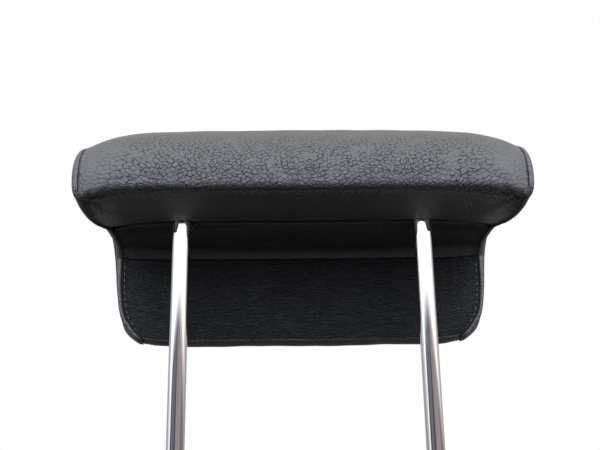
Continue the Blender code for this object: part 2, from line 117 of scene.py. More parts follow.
UNDERSIDE_FRONT = (
    (-38.2, -10.5, 112.6, 0.0, 1.5),
    (-33.0, -5.0, 112.3, 0.0, 0.5),
    (-24.0, -1.8, 112.3, -1.0, -1.0),
    (-12.0, 0.0, 112.8, -2.0, -2.0),
    (0.0, 0.5, 113.5, -3.0, -2.5),
)
END_POWER = 10  # the higher, the closer to the side seam the outline turns
# The line that each side panel is fullest along: y, height and distance from the middle
FULLEST = (
    (-52.0, -44.0, 109.0),
    (-51.5, -20.0, 113.5),
    (-49.0, 4.0, 116.5),
    (-36.0, 22.0, 119.0),
    (-10.0, 22.0, 121.5),
    (20.0, 17.0, 122.0),
    (42.0, 12.0, 122.5),
)

COARSE = 4.0 * MM  # spacing of the mesh that is simulated
FINE = 0.9 * MM  # spacing of the finished mesh
COLUMNS = 60  # coarse cells across the cover
NOMINAL_WIDTH = 240.0 * MM  # sets how many fine columns every panel has
SEAM_INSET = 2.6 * MM  # the side seams lie this far in from the outline's widest line
BORDER = 8.0 * MM  # width of the rounded border of a side panel
SKIN = 1.2 * MM  # leather's thickness
WALLS = (1.2 * MM, 2.6 * MM)  # depths of the seam allowance below a rolled edge
SIDE_ROLL = 0.45 * MM  # radius of the rolled edges at the side seams
SHARED_REACH = 6.0 * MM  # how far from a seam two panels share their directions
SHIFT_REACH = 3.0 * MM  # how far from its rim a side panel follows it back to the seam
WELD = 0.05 * MM  # points that round to the same multiple of this are sewn together
PRESSURE = 2.5  # inside the skin while it is simulated
FRAMES = 20  # length of the simulation
LONGEST_MOVE = 3.0 * MM  # the most that it may move a point
BEND_RADIUS = 20.0 * MM
TIP_CHAMFER = 1.5 * MM
NOTCH_HEIGHT = 5.0 * MM
NOTCH_DEPTH = 1.9 * MM
LEFT_NOTCHES = (16.0 * MM, 34.0 * MM, 52.0 * MM)
RIGHT_NOTCHES = (16.0 * MM,)
FOAM_INSET = 6.0 * MM  # the foam's surface below the outline
FOAM_VOXEL = 1.6 * MM
MOUTH_HALF = 10.5 * MM  # half the width of the foam's opening for the carrier
BACK_STITCHES = 2.7 * MM  # distance of the stitches from the back seam
SIDE_STITCHES = 2.0 * MM  # from the side seams
LIP_STITCHES = 2.2 * MM  # and from the lip's side seams
LEATHER_DARK = (0.0125, 0.0125, 0.0145)
LEATHER_LIGHT = (0.019, 0.0188, 0.0205)
SLIT_HALF = 2.1 * MM  # half the gap between the two flaps under the cushion
SLIT_WIDENS = 1.6 * MM  # added to it at the cushion's left end
SLIT_REACH = 6.0 * MM  # how far from the slit a flap is drawn back
POST_HOLES = ((-1, 0.5 * MM), (1, 1.8 * MM))  # side and clearance of the holes that the posts come through
UNEVENNESS = 0.22 * MM  # height of the broad waves in every panel
PUCKER = 0.13 * MM  # height of the ripples along the seams
PUCKER_REACH = 4.0 * MM
GATHER = 1.1 * MM  # height of the folds at the back seam's corners
GATHER_REACH = 13.0 * MM
FOLDS = 9  # the higher, the closer together they are
STRETCHED_AT = 64.0 * MM  # the hide is stretched smooth at this distance from the back seam
STRETCHED_REACH = 25.0 * MM
EDGE_FADE = 38.0 * MM  # how far from the side seams the depth of the grain changes
DRAW = 0.38  # how much the grain is drawn out near a panel's ends
DRAW_REACH = 34.0 * MM
EDGE_FULLNESS = 1.0 * MM  # sharpens the back edge above the back seam
BELLY = 2.4 * MM  # fullness of the rear flap near its ends
OVERHEAD = 2.85  # the overhead soft box's strength
POST_RAKE = 0.19  # slope of the reflection on the posts, which stands for their lean
CAMERA_PLACE = (0.0135, 0.4962, 0.0176)
CAMERA_TURN = (18.53, -1.41, -0.89)  # pitch, yaw and roll in degrees
LENS = 54.0
RANDOM = np.random.default_rng(7)


# ---------------------------------------------------------------- meshes and objects


def new_mesh(name, points, faces):
    mesh = bpy.data.meshes.new(name)
    mesh.from_pydata(points.tolist(), [], faces)
    return mesh


def add_object(name, data):
    made = bpy.data.objects.new(name, data)
    bpy.context.scene.collection.objects.link(made)
    return made


def points_of(mesh):
    flat = np.empty(len(mesh.vertices) * 3, np.float32)
    mesh.vertices.foreach_get("co", flat)
    return flat.reshape(-1, 3).astype(float)


def evaluated(piece):
    """An object as its modifiers leave it."""
    return piece.evaluated_get(bpy.context.evaluated_depsgraph_get())


# ---------------------------------------------------------------- curves and grids


def cubic(grid, places):
    """Values of the Catmull-Rom curve through a grid's rows, at fractional row numbers."""
    padded = np.concatenate([[2 * grid[0] - grid[1]], grid, [2 * grid[-1] - grid[-2]]])
    index = np.clip(np.floor(places).astype(int), 0, len(grid) - 2)
    share = (places - index).reshape((-1,) + (1,) * (grid.ndim - 1))
    a, b, c, d = (padded[index + k] for k in range(4))
    bend = (2 * a - 5 * b + 4 * c - d) * share**2 + (3 * b - a - 3 * c + d) * share**3
    return 0.5 * (2 * b + (c - a) * share + bend)


def even_stations(points):
    """The outline points of one stretch, evenly spaced at about COARSE, in metres."""
    points = np.array(points) * MM
    fine = cubic(points, np.linspace(0, len(points) - 1, 40 * len(points)))
    travelled = np.concatenate([[0.0], np.cumsum(np.hypot(*np.diff(fine[:, :2], axis=0).T))])
    wanted = np.linspace(0, travelled[-1], round(travelled[-1] / COARSE) + 1)
    return np.column_stack([np.interp(wanted, travelled, column) for column in fine.T])


def belt_grid(points):
    """A coarse grid of one panel that runs across the cover.

    Its rows follow the outline, and its columns run from right to left.
    """
    y, z, half_width, end_y, end_z = even_stations(points).T[:, :, None]
    half_width = half_width - SEAM_INSET
    across = np.linspace(-1.0, 1.0, COLUMNS + 1)[None, :]
    late = np.abs(across) ** END_POWER
    return np.stack([across * half_width, y + end_y * late, UNDERSIDE + z + end_z * late], axis=2)


def unit(vectors):
    return vectors / np.maximum(np.linalg.norm(vectors, axis=-1, keepdims=True), 1e-12)


def grid_normals(grid):
    return unit(np.cross(np.gradient(grid, axis=0), np.gradient(grid, axis=1)))


def smooth_step(low, high, value):
    share = np.clip((value - low) / (high - low), 0.0, 1.0)
    return share * share * (3 - 2 * share)


def waves(u, v, sizes, height):
    """A smooth uneven field over distances u and v: a sum of a few random waves of the given lengths."""
    total = 0.0
    for size in sizes:
        for _ in range(3):
            turn, phase = RANDOM.uniform(0, 2 * math.pi, 2)
            total = total + np.sin(2 * math.pi * (u * math.cos(turn) + v * math.sin(turn)) / size + phase)
    return height * total / (3 * len(sizes)) ** 0.5


# ---------------------------------------------------------------- the sewn skin, simulated


def side_outline(belts, side):
    """The closed loop of rim points at one end of the cover."""
    column = -1 if side > 0 else 0
    return np.concatenate([grid[:-1, column] for grid in belts.values()])


def side_mesh(rim, side):
    """A coarse triangle mesh inside the rim that bulges towards the fullest line."""
    low, high = rim[:, 1:].min(0), rim[:, 1:].max(0)
    inner = []
    for row, z in enumerate(np.arange(low[1], high[1], COARSE * 0.87)):
        for y in np.arange(low[0] + (row % 2) * COARSE / 2, high[0], COARSE):
            if np.hypot(*(rim[:, 1:] - (y, z)).T).min() > COARSE * 0.7:
                inner.append((y, z))
    flat = [Vector(p) for p in [*rim[:, 1:], *inner]]
    loop = [(i, (i + 1) % len(rim)) for i in range(len(rim))]
    points, _, faces, *_ = delaunay_2d_cdt(flat, loop, [], 1, 1e-7)
    points = np.array(points)

    spine = cubic(np.array(FULLEST) * MM, np.linspace(0, len(FULLEST) - 1, 120))
    to_spine = np.hypot(points[:, :1] - spine[:, 0], points[:, 1:] - UNDERSIDE - spine[:, 1])
    to_rim = np.hypot(points[:, :1] - rim[:, 1], points[:, 1:] - rim[:, 2])
    share = to_rim.min(1) / (to_rim.min(1) + to_spine.min(1))
    weight = 1.0 / (to_rim + 1e-5) ** 3
    rim_x = (weight * np.abs(rim[:, 0])).sum(1) / weight.sum(1)
    full_x = spine[to_spine.argmin(1), 2] - SEAM_INSET
    x = rim_x + (full_x - rim_x) * (1 - (1 - share) ** 1.7)
    faces = [face if side < 0 else face[::-1] for face in faces]
    return np.column_stack([side * x, points]), faces


def grid_faces(rows, columns, start=0):
    number = start + np.arange(rows * columns).reshape(rows, columns)
    corners = (number[:-1, :-1], number[1:, :-1], number[1:, 1:], number[:-1, 1:])
    return np.stack(corners, axis=2).reshape(-1, 4)


def sewn_skin(belts, sides):
    """One closed mesh of all the panels: points, faces, which points are on a seam, each panel's points."""
    points, faces, held, places = [], [], [], {}
    start = 0
    for name, grid in belts.items():
        rows, columns = grid.shape[:2]
        seam = np.zeros((rows, columns), bool)
        seam[[0, -1]] = seam[:, [0, -1]] = True
        faces += grid_faces(rows, columns, start).tolist()
        points.append(grid.reshape(-1, 3))
        held.append(seam.reshape(-1))
        places[name] = slice(start, start + rows * columns)
        start += rows * columns
    for name, (side_points, side_faces, rim_size) in sides.items():
        faces += [[start + i for i in face] for face in side_faces]
        points.append(side_points)
        held.append(np.arange(len(side_points)) < rim_size)
        places[name] = slice(start, start + len(side_points))
        start += len(side_points)
    points, held = np.concatenate(points), np.concatenate(held)
    rounded = np.round(points / WELD)
    _, first, shared = np.unique(rounded, axis=0, return_index=True, return_inverse=True)
    shared = shared.reshape(-1)
    welded = [list(dict.fromkeys(shared[face].tolist())) for face in map(np.array, faces)]
    seam = np.zeros(len(first), bool)
    np.logical_or.at(seam, shared, held)
    whole = [face for face in welded if len(face) > 2]
    return points[first], whole, seam, {name: shared[place] for name, place in places.items()}


def blow_up(points, faces, seam):
    """The points after a short cloth simulation under pressure, with the seams held and the moves capped."""
    skin = add_object("skin", new_mesh("skin", points, faces))
    held = skin.vertex_groups.new(name="held")
    held.add(np.flatnonzero(seam).tolist(), 1.0, "REPLACE")
    cloth = skin.modifiers.new("cloth", "CLOTH")
    settings = cloth.settings
    settings.quality = 6
    settings.mass = 0.3
    settings.tension_stiffness = settings.compression_stiffness = 18
    settings.shear_stiffness = 6
    settings.bending_stiffness = 0.6
    settings.use_pressure = True
    settings.uniform_pressure_force = PRESSURE
    settings.vertex_group_mass = "held"
    settings.effector_weights.gravity = 0.0
    cloth.collision_settings.use_collision = False
    scene = bpy.context.scene
    for number in range(1, FRAMES + 1):
        scene.frame_set(number)
    moved = points_of(evaluated(skin).data) - points
    scene.frame_set(1)
    bpy.data.objects.remove(skin)
    size = np.linalg.norm(moved, axis=1, keepdims=True)
    return points + moved * np.minimum(1.0, LONGEST_MOVE / np.maximum(size, 1e-9))


# ---------------------------------------------------------------- finished panels


def edge_samples(length, first_roll, last_roll):
    """Places along a panel, close together on its rolled edges, and their depths below its surface."""
    turns = np.radians(np.linspace(0, 90, 7))
    roll = np.column_stack([1 - np.cos(turns), 1 - np.sin(turns)])
    flat = length - first_roll - last_roll
    middle = np.linspace(first_roll, length - last_roll, round(flat / FINE) + 1)[1:-1]
    samples = [(0.0, first_roll + wall) for wall in reversed(WALLS)]
    samples += [(first_roll * along, first_roll * down) for along, down in roll]
    samples += [(place, 0.0) for place in middle]
    samples += [(length - last_roll * along, last_roll * down) for along, down in roll[::-1]]
    samples += [(length, last_roll + wall) for wall in WALLS]
    return np.array(samples)


class Belt:
    """One panel that runs across the cover, sampled finely.

    u is the distance along it, and v the distance across it from its middle.
    """

    def __init__(self, grid, rolls, side_roll):
        self.length = np.linalg.norm(np.diff(grid[:, COLUMNS // 2], axis=0), axis=1).sum()
        self.width = np.linalg.norm(np.diff(grid[len(grid) // 2], axis=0), axis=1).sum()
        along = edge_samples(self.length, *rolls)
        across = edge_samples(NOMINAL_WIDTH, side_roll, side_roll)
        base = cubic(grid, along[:, 0] / self.length * (len(grid) - 1))
        self.base = cubic(base.swapaxes(0, 1), across[:, 0] / NOMINAL_WIDTH * COLUMNS).swapaxes(0, 1)
        across[:, 0] *= self.width / NOMINAL_WIDTH
        self.u, self.v = np.meshgrid(along[:, 0], across[:, 0] - self.width / 2, indexing="ij")
        self.depth_along = np.repeat(along[:, 1:], len(across), axis=1)
        self.depth_across = np.repeat(across[None, :, 1], len(along), axis=0)
        self.from_side = self.width / 2 - np.abs(self.v)
        self.raised = np.zeros_like(self.u)
        self.measure_normals()

    def measure_normals(self):
        walls = len(WALLS)
        normals = grid_normals(self.base[walls:-walls, walls:-walls])
        self.normals = np.pad(normals, ((walls, walls), (walls, walls), (0, 0)), mode="edge")

    def open_slit(self, sign, distance):
        """Draws a flap's edge back from the slit, more at the cushion's left end and round the posts."""
        x = self.base[..., 0]
        gap = SLIT_HALF + SLIT_WIDENS * smooth_step(POST_X, POST_X + 40 * MM, x)
        for side, clearance in POST_HOLES:
            hole = POST_RADIUS + clearance
            middle = side * (POST_X - clearance / 2)
            gap = np.maximum(gap, np.sqrt(np.maximum(hole**2 - (x - middle) ** 2, 0.0)))
        self.base[..., 1] += sign * gap * np.exp(-((distance / SLIT_REACH) ** 2))
        self.measure_normals()

    def share_edges(self, first, last, reach):
        """Turns the directions near the edges to the ones that the neighbouring panels use too."""
        side = np.zeros_like(self.normals)
        side[..., 0] = np.sign(self.v)
        near_first = 1 - smooth_step(0, reach, self.u)
        near_last = 1 - smooth_step(0, reach, self.length - self.u)
        near_side = 1 - smooth_step(0, reach, self.from_side)
        mixed = self.normals + near_first[..., None] * (first - self.normals)
        mixed += near_last[..., None] * (last - self.normals)
        mixed += near_side[..., None] * side
        self.inwards = -unit(mixed)

    def points(self):
        depth = (self.depth_along**4 + self.depth_across**4) ** 0.25
        return self.base + self.inwards * depth[..., None] + self.normals * self.raised[..., None]


def add_attribute(mesh, name, kind, values):
    attribute = mesh.attributes.new(name, kind, "POINT")
    field = "vector" if kind == "FLOAT_VECTOR" else "value"
    attribute.data.foreach_set(field, values.astype(np.float32).reshape(-1))


def finish_skin(name, points, faces, grain, relief, material):
    """A leather panel of real thickness.

    grain holds flat distances in millimetres, and relief says how deep the grain is.
    """
    mesh = new_mesh(name, points, faces)
    mesh.shade_smooth()
    add_attribute(mesh, "grain", "FLOAT_VECTOR", grain)
    add_attribute(mesh, "relief", "FLOAT", relief)
    mesh.materials.append(material)
    piece = add_object(name, mesh)
    thick = piece.modifiers.new("thickness", "SOLIDIFY")
    thick.thickness = SKIN
    thick.offset = -1.0
    thick.use_even_offset = False
    return piece


def drawn_grain(belt):
    """Flat distances across and along a panel. Near its ends the grain is drawn out away from the corners."""
    grain = np.stack([belt.v, belt.u], axis=2)
    for side in (-1, 1):
        middle = np.array([side * (belt.width / 2 - 22 * MM), 14 * MM])
        pull = np.array([-side * 0.80, -0.60])
        offset = grain - middle
        near = np.exp(-(offset**2).sum(2) / DRAW_REACH**2)
        grain = grain - (DRAW * near * (offset @ pull))[..., None] * pull
    return np.concatenate([grain, np.zeros_like(grain[..., :1])], axis=2) / MM


def finish_belt(name, belt, relief, material):
    points = belt.points()
    rows, columns = points.shape[:2]
    grain = drawn_grain(belt)
    faces = grid_faces(rows, columns).tolist()
    return finish_skin(name, points.reshape(-1, 3), faces, grain, relief, material)


def stitch_row(line, outward, pitch=4.0 * MM, length=2.7 * MM, radius=0.24 * MM):
    """Points and faces of one row of stitches along a line. Each is a short tube whose ends dive in."""
    travelled = np.concatenate([[0.0], np.cumsum(np.linalg.norm(np.diff(line, axis=0), axis=1))])
    starts = np.arange(pitch / 2, travelled[-1] - pitch, pitch)
    starts = starts + RANDOM.normal(0, 0.12 * MM, len(starts))
    share = np.linspace(0, 1, 6)
    lift = radius * (0.45 - 2.4 * np.abs(2 * share - 1) ** 3)
    angles = np.arange(6) * math.pi / 3
    points, faces = [], []
    for start in starts:
        places = start + share * length * RANDOM.uniform(0.9, 1.05)
        middle = np.column_stack([np.interp(places, travelled, column) for column in line.T])
        up = unit(np.column_stack([np.interp(places, travelled, column) for column in outward.T]))
        middle = middle + up * lift[:, None]
        across = unit(np.cross(np.gradient(middle, axis=0), up))
        first = sum(map(len, points))
        for centre, a, b in zip(middle, across, up):
            points.append(centre + radius * (np.cos(angles)[:, None] * a + np.sin(angles)[:, None] * b))
        for ring in range(len(share) - 1):
            for k in range(6):
                low = first + 6 * ring
                faces.append((low + k, low + (k + 1) % 6, low + 6 + (k + 1) % 6, low + 6 + k))
        faces.append(tuple(range(first + 5, first - 1, -1)))
        last = first + 6 * (len(share) - 1)
        faces.append(tuple(range(last, last + 6)))
    return np.concatenate(points), faces


def stitches(name, rows, material):
    """One object that holds several rows of stitches."""
    points, faces = [], []
    for line, outward in rows:
        row_points, row_faces = stitch_row(line, outward)
        start = sum(map(len, points))
        points.append(row_points)
        faces += [tuple(start + i for i in face) for face in row_faces]
    mesh = new_mesh(name, np.concatenate(points), faces)
    mesh.shade_smooth()
    mesh.materials.append(material)
    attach(add_object(name, mesh), "root")


def row_near_side(panel, side, inset):
    """A line of points and directions along a panel, at a distance from its side seam."""
    column = np.abs(panel.v[0] - side * (panel.width / 2 - inset)).argmin()
    inner = slice(len(WALLS) + 2, -len(WALLS) - 2)
    return panel.points()[inner, column], panel.normals[inner, column]


def row_near_end(panel, place):
    """A line of points and directions across a panel, at a distance along it."""
    row = np.abs(panel.u[:, 0] - place).argmin()
    inner = slice(len(WALLS) + 2, -len(WALLS) - 2)
    return panel.points()[row, inner], panel.normals[row, inner]


# ---------------------------------------------------------------- node helpers


def new_material(name):
    material = bpy.data.materials.new(name)
    material.use_nodes = True
    return material, material.node_tree, material.node_tree.nodes["Principled BSDF"]


def node(tree, kind, **settings):
    made = tree.nodes.new(kind)
    for key, value in settings.items():
        if key in made.inputs:
            made.inputs[key].default_value = value
        else:
            setattr(made, key, value)
    return made


def feed(tree, socket, value):
    """Set a socket to a number or a colour, or link it to another node's output."""
    if isinstance(value, (int, float)):
        socket.default_value = value
    elif isinstance(value, tuple):
        socket.default_value = (*value, 1.0)
    else:
        tree.links.new(value, socket)


def math_node(tree, operation, *values):
    made = node(tree, "ShaderNodeMath", operation=operation)
    for socket, value in zip(made.inputs, values):
        feed(tree, socket, value)
    return made.outputs[0]


def ramp(tree, value, low, high, start=0.0, end=1.0):
    """A smooth step of value from low to high."""
    made = node(tree, "ShaderNodeMapRange", interpolation_type="SMOOTHSTEP")
    tree.links.new(value, made.inputs["Value"])
    for key, number in (("From Min", low), ("From Max", high), ("To Min", start), ("To Max", end)):
        made.inputs[key].default_value = number
    return made.outputs["Result"]


def blend(tree, share, first, second, data_type="FLOAT"):
    """A number between first and second."""
    made = node(tree, "ShaderNodeMix", data_type=data_type)
    for name, value in (("Factor", share), ("A", first), ("B", second)):
        feed(tree, made.inputs[name], value)
    return made.outputs["Result"]


def mix_colour(tree, share, first, second):
    return blend(tree, share, first, second, "RGBA")


def bump(tree, shader, height, strength, distance):
    made = tree.nodes.new("ShaderNodeBump")
    made.inputs["Distance"].default_value = distance
    made.inputs["Strength"].default_value = strength
    tree.links.new(height, made.inputs["Height"])
    tree.links.new(made.outputs["Normal"], shader.inputs["Normal"])
    return made


# ---------------------------------------------------------------- materials


def leather(name, cell, turn=0.0, depth=0.32, warp=0.8, shine=0.5, painted_shade_scale=1.0):
    """Black pebbled leather. cell is the pebbles' size in millimetres across and along the panel. The colour
    is scaled down per panel as painted shade, and shine sets the specular level, which differs from panel to
    panel as painted sheen and shade.
    """
    material, tree, shader = new_material(name)
    link = tree.links.new
    grain = node(tree, "ShaderNodeAttribute", attribute_name="grain")
    relief = node(tree, "ShaderNodeAttribute", attribute_name="relief")
    mapping = node(tree, "ShaderNodeMapping")
    mapping.inputs["Rotation"].default_value = (0, 0, turn)
    mapping.inputs["Scale"].default_value = (1 / cell[0], 1 / cell[1], 1)
    link(grain.outputs["Vector"], mapping.inputs["Vector"])
    wander = node(tree, "ShaderNodeTexNoise", noise_dimensions="2D", Scale=0.55, Detail=2.0)
    link(mapping.outputs["Vector"], wander.inputs["Vector"])
    shift = node(tree, "ShaderNodeVectorMath", operation="MULTIPLY_ADD")
    link(wander.outputs["Color"], shift.inputs[0])
    shift.inputs[1].default_value = (warp, warp, 0)
    link(mapping.outputs["Vector"], shift.inputs[2])

    # the pebbles, the smaller ones among them, and a fine noise
    edges = node(tree, "ShaderNodeTexVoronoi", voronoi_dimensions="2D", feature="DISTANCE_TO_EDGE", Scale=1.0)
    cells = node(tree, "ShaderNodeTexVoronoi", voronoi_dimensions="2D", feature="F1", Scale=1.0)
    small = node(tree, "ShaderNodeTexVoronoi", voronoi_dimensions="2D", feature="DISTANCE_TO_EDGE", Scale=2.3)
    for texture in (edges, cells, small):
        texture.inputs["Randomness"].default_value = 0.92
        link(shift.outputs["Vector"], texture.inputs["Vector"])
    fine = node(tree, "ShaderNodeTexNoise", noise_dimensions="2D", Scale=7.0, Detail=3.0, Roughness=0.6)
    link(mapping.outputs["Vector"], fine.inputs["Vector"])

    # how deep the creases are cut, which varies from patch to patch and from crease to crease
    patches = node(tree, "ShaderNodeTexNoise", noise_dimensions="2D", Scale=0.3, Detail=2.0)
    single = node(tree, "ShaderNodeTexNoise", noise_dimensions="2D", Scale=1.3, Detail=1.0)
    for texture in (patches, single):
        link(mapping.outputs["Vector"], texture.inputs["Vector"])
    uneven = ramp(tree, patches.outputs["Fac"], 0.3, 0.5, 0.45, 1.0)
    cut = math_node(tree, "MULTIPLY", relief.outputs["Fac"], uneven)
    cut = math_node(tree, "MULTIPLY", cut, ramp(tree, single.outputs["Fac"], 0.36, 0.56, 0.3, 1.0))

    pebble = ramp(tree, edges.outputs["Distance"], 0.0, 0.20)
    dome = math_node(tree, "MULTIPLY", cells.outputs["Distance"], cells.outputs["Distance"])
    height = math_node(tree, "MULTIPLY_ADD", dome, -0.45, pebble)
    height = math_node(tree, "ADD", height, ramp(tree, small.outputs["Distance"], 0.0, 0.10, 0.0, 0.12))
    height = math_node(tree, "MULTIPLY_ADD", fine.outputs["Fac"], 0.10, height)
    height = math_node(tree, "MULTIPLY", height, math_node(tree, "MULTIPLY_ADD", cut, 0.85, 0.15))
    bump(tree, shader, height, 1.0, depth * MM)

    # painted shade in the creases: their colour goes near black and their specular level drops, and they are
    # rougher
    crease_shade = math_node(tree, "SUBTRACT", 1.0, ramp(tree, edges.outputs["Distance"], 0.015, 0.09))
    surface = math_node(tree, "SUBTRACT", 1.0, math_node(tree, "MULTIPLY", crease_shade, cut))
    shader.inputs["Specular IOR Level"].default_value = shine
    link(ramp(tree, surface, 0.0, 1.0, 0.04, shine), shader.inputs["Specular IOR Level"])
    cloudy = node(tree, "ShaderNodeTexNoise", noise_dimensions="2D", Scale=0.05, Detail=3.0)
    link(grain.outputs["Vector"], cloudy.inputs["Vector"])
    # the skin's random tone, scaled down by its panel's painted shade
    dark, light = (tuple(painted_shade_scale * part for part in colour) for colour in (LEATHER_DARK, LEATHER_LIGHT))
    tone_with_painted_shade = mix_colour(tree, cloudy.outputs["Fac"], dark, light)
    # the near-black colour mixed in where the creases are is painted crease shade
    link(mix_colour(tree, surface, (0.0015, 0.0015, 0.002), tone_with_painted_shade), shader.inputs["Base Color"])
    rough = math_node(tree, "MULTIPLY_ADD", fine.outputs["Fac"], 0.12, 0.36)
    rough = math_node(tree, "MULTIPLY_ADD", cloudy.outputs["Fac"], 0.08, rough)
    rough = math_node(tree, "MULTIPLY_ADD", surface, -0.12, math_node(tree, "ADD", rough, 0.12))
    link(rough, shader.inputs["Roughness"])
    return material


def thread():
    """Bonded nylon thread with a light twist."""
    material, tree, shader = new_material("thread_nylon")
    place = node(tree, "ShaderNodeTexCoord")
    twist = node(tree, "ShaderNodeTexWave", bands_direction="DIAGONAL", Scale=2600.0)
    twist.inputs["Distortion"].default_value = twist.inputs["Detail"].default_value = 1.0
    tree.links.new(place.outputs["Object"], twist.inputs["Vector"])
    colour = mix_colour(tree, twist.outputs["Fac"], (0.03, 0.029, 0.028), (0.12, 0.116, 0.112))
    tree.links.new(colour, shader.inputs["Base Color"])
    shader.inputs["Roughness"].default_value = 0.42
    bump(tree, shader, twist.outputs["Fac"], 0.6, 0.05 * MM)
    return material


def chrome():
    """Polished chrome plate: faint draw lines along the post, and haze where it has been handled."""
    material, tree, shader = new_material("chrome_plate")
    place = node(tree, "ShaderNodeTexCoord")
    lines = node(tree, "ShaderNodeTexNoise", Scale=1.0, Detail=4.0)
    stretch = node(tree, "ShaderNodeMapping")
    stretch.inputs["Scale"].default_value = (900, 900, 14)
    tree.links.new(place.outputs["Object"], stretch.inputs["Vector"])
    tree.links.new(stretch.outputs["Vector"], lines.inputs["Vector"])
    haze = node(tree, "ShaderNodeTexNoise", Scale=45.0, Detail=5.0, Roughness=0.65)
    tree.links.new(place.outputs["Object"], haze.inputs["Vector"])
    rough = ramp(tree, haze.outputs["Fac"], 0.45, 0.75, 0.035, 0.11)
    tree.links.new(rough, shader.inputs["Roughness"])
    colour = mix_colour(tree, haze.outputs["Fac"], (0.86, 0.87, 0.89), (0.78, 0.79, 0.81))
    tree.links.new(colour, shader.inputs["Base Color"])
    shader.inputs["Metallic"].default_value = 1.0
    split = node(tree, "ShaderNodeSeparateXYZ")
    tree.links.new(place.outputs["Object"], split.inputs[0])
    rake = math_node(tree, "MULTIPLY", split.outputs["Z"], POST_RAKE)
    bump(tree, shader, math_node(tree, "MULTIPLY_ADD", lines.outputs["Fac"], 0.002 * MM, rake), 1.0, 1.0)
    return material


def speckled(name, dark, light, roughness, metallic=0.0, scale=900.0, strength=0.3, distance=0.05):
    """A moulded, foamed or plated finish: two tones and a bump from one fine noise and one broad one."""
    material, tree, shader = new_material(name)
    place = node(tree, "ShaderNodeTexCoord")
    fine = node(tree, "ShaderNodeTexNoise", Scale=scale, Detail=4.0, Roughness=0.6)
    broad = node(tree, "ShaderNodeTexNoise", Scale=60.0, Detail=3.0)
    for texture in (fine, broad):
        tree.links.new(place.outputs["Object"], texture.inputs["Vector"])
    both = math_node(tree, "MULTIPLY", fine.outputs["Fac"], 0.5)
    both = math_node(tree, "MULTIPLY_ADD", broad.outputs["Fac"], 0.5, both)
    tree.links.new(mix_colour(tree, both, dark, light), shader.inputs["Base Color"])
    tree.links.new(ramp(tree, both, 0.3, 0.7, roughness - 0.08, roughness + 0.08), shader.inputs["Roughness"])
    shader.inputs["Metallic"].default_value = metallic
    bump(tree, shader, fine.outputs["Fac"], strength, distance * MM)
    return material


def foam_finish():
    return speckled(
        "foam_open_cell", (0.42, 0.38, 0.26), (0.66, 0.62, 0.48), 0.88, scale=1400, strength=0.9, distance=0.3
    )


def finish_frame_nodes():
    """Better finishes for the CAD nodes that stay."""
    finishes = {
        "carrier_plastic": speckled(
            "moulded_black", (0.022, 0.022, 0.025), (0.045, 0.045, 0.05), 0.5, scale=2200
        ),
        "trim_plastic": speckled(
            "trim_black", (0.010, 0.010, 0.011), (0.022, 0.022, 0.024), 0.42, scale=1500, strength=0.15
        ),
        "zinc_steel": speckled(
            "zinc_plate", (0.46, 0.47, 0.50), (0.68, 0.69, 0.70), 0.34, metallic=1.0, scale=700, strength=0.1
        ),
    }
    for entry in frame["record"]["subparts"]:
        finish = finishes.get(entry["material_slot"])
        if finish:
            for slot in frame["nodes"][entry["node"]].material_slots:
                slot.material = finish


# ---------------------------------------------------------------- posts and foam


def bent_bar(name, radius):
    """The posts and the bar that joins them, as one smooth tube with chamfered tips."""
    crossbar = POST_HIGH.z - POST_RADIUS
    turns = [math.radians(a) for a in range(0, 91, 5)]
    left = [(POST_X, POST_LOW.z, 1 - TIP_CHAMFER / POST_RADIUS), (POST_X, POST_LOW.z + TIP_CHAMFER, 1.0)]
    left += [(POST_X, z, 1.0) for z in np.linspace(POST_LOW.z + 5 * MM, crossbar - BEND_RADIUS - 5 * MM, 12)]
    centre_x, centre_z = POST_X - BEND_RADIUS, crossbar - BEND_RADIUS
    left += [(centre_x + BEND_RADIUS * math.cos(t), centre_z + BEND_RADIUS * math.sin(t), 1.0) for t in turns]
    path = left + [(-x, z, share) for x, z, share in reversed(left)]
    curve = bpy.data.curves.new(name, "CURVE")
    curve.dimensions = "3D"
    curve.bevel_depth = radius
    curve.bevel_resolution = 14
    curve.use_fill_caps = True
    spline = curve.splines.new("POLY")
    spline.points.add(len(path) - 1)
    for point, (x, z, share) in zip(spline.points, path):
        point.co = (x, 0.0, z, 1.0)
        point.radius = share
    guide = add_object(name, curve)
    mesh = bpy.data.meshes.new_from_object(evaluated(guide))
    bpy.data.objects.remove(guide)
    return mesh


def welded_object(name, mesh):
    """An object from a mesh, with points that coincide made one and its faces turned outwards."""
    made = bmesh.new()
    made.from_mesh(mesh)
    bmesh.ops.remove_doubles(made, verts=made.verts, dist=0.01 * MM)
    bmesh.ops.recalc_face_normals(made, faces=made.faces)
    made.to_mesh(mesh)
    made.free()
    return add_object(name, mesh)


def cut_away(piece, cutters):
    """Applies an exact Boolean difference for each cutter, and removes the cutters."""
    for cutter in cutters:
        cut = piece.modifiers.new("cut", "BOOLEAN")
        cut.operation, cut.solver, cut.object = "DIFFERENCE", "EXACT", cutter
    mesh = bpy.data.meshes.new_from_object(evaluated(piece))
    piece.modifiers.clear()
    piece.data = mesh
    for cutter in cutters:
        bpy.data.objects.remove(cutter)


def new_cutter(shape):
    mesh = bpy.data.meshes.new("cutter")
    shape.to_mesh(mesh)
    shape.free()
    return add_object("cutter", mesh)


def block(low, high):
    """A box cutter between two corners."""
    made = bmesh.new()
    bmesh.ops.create_cube(made, size=1.0)
    low, high = Vector(low), Vector(high)
    for vert in made.verts:
        vert.co = Vector(c * (b - a) + (a + b) / 2 for c, a, b in zip(vert.co, low, high))
    return new_cutter(made)


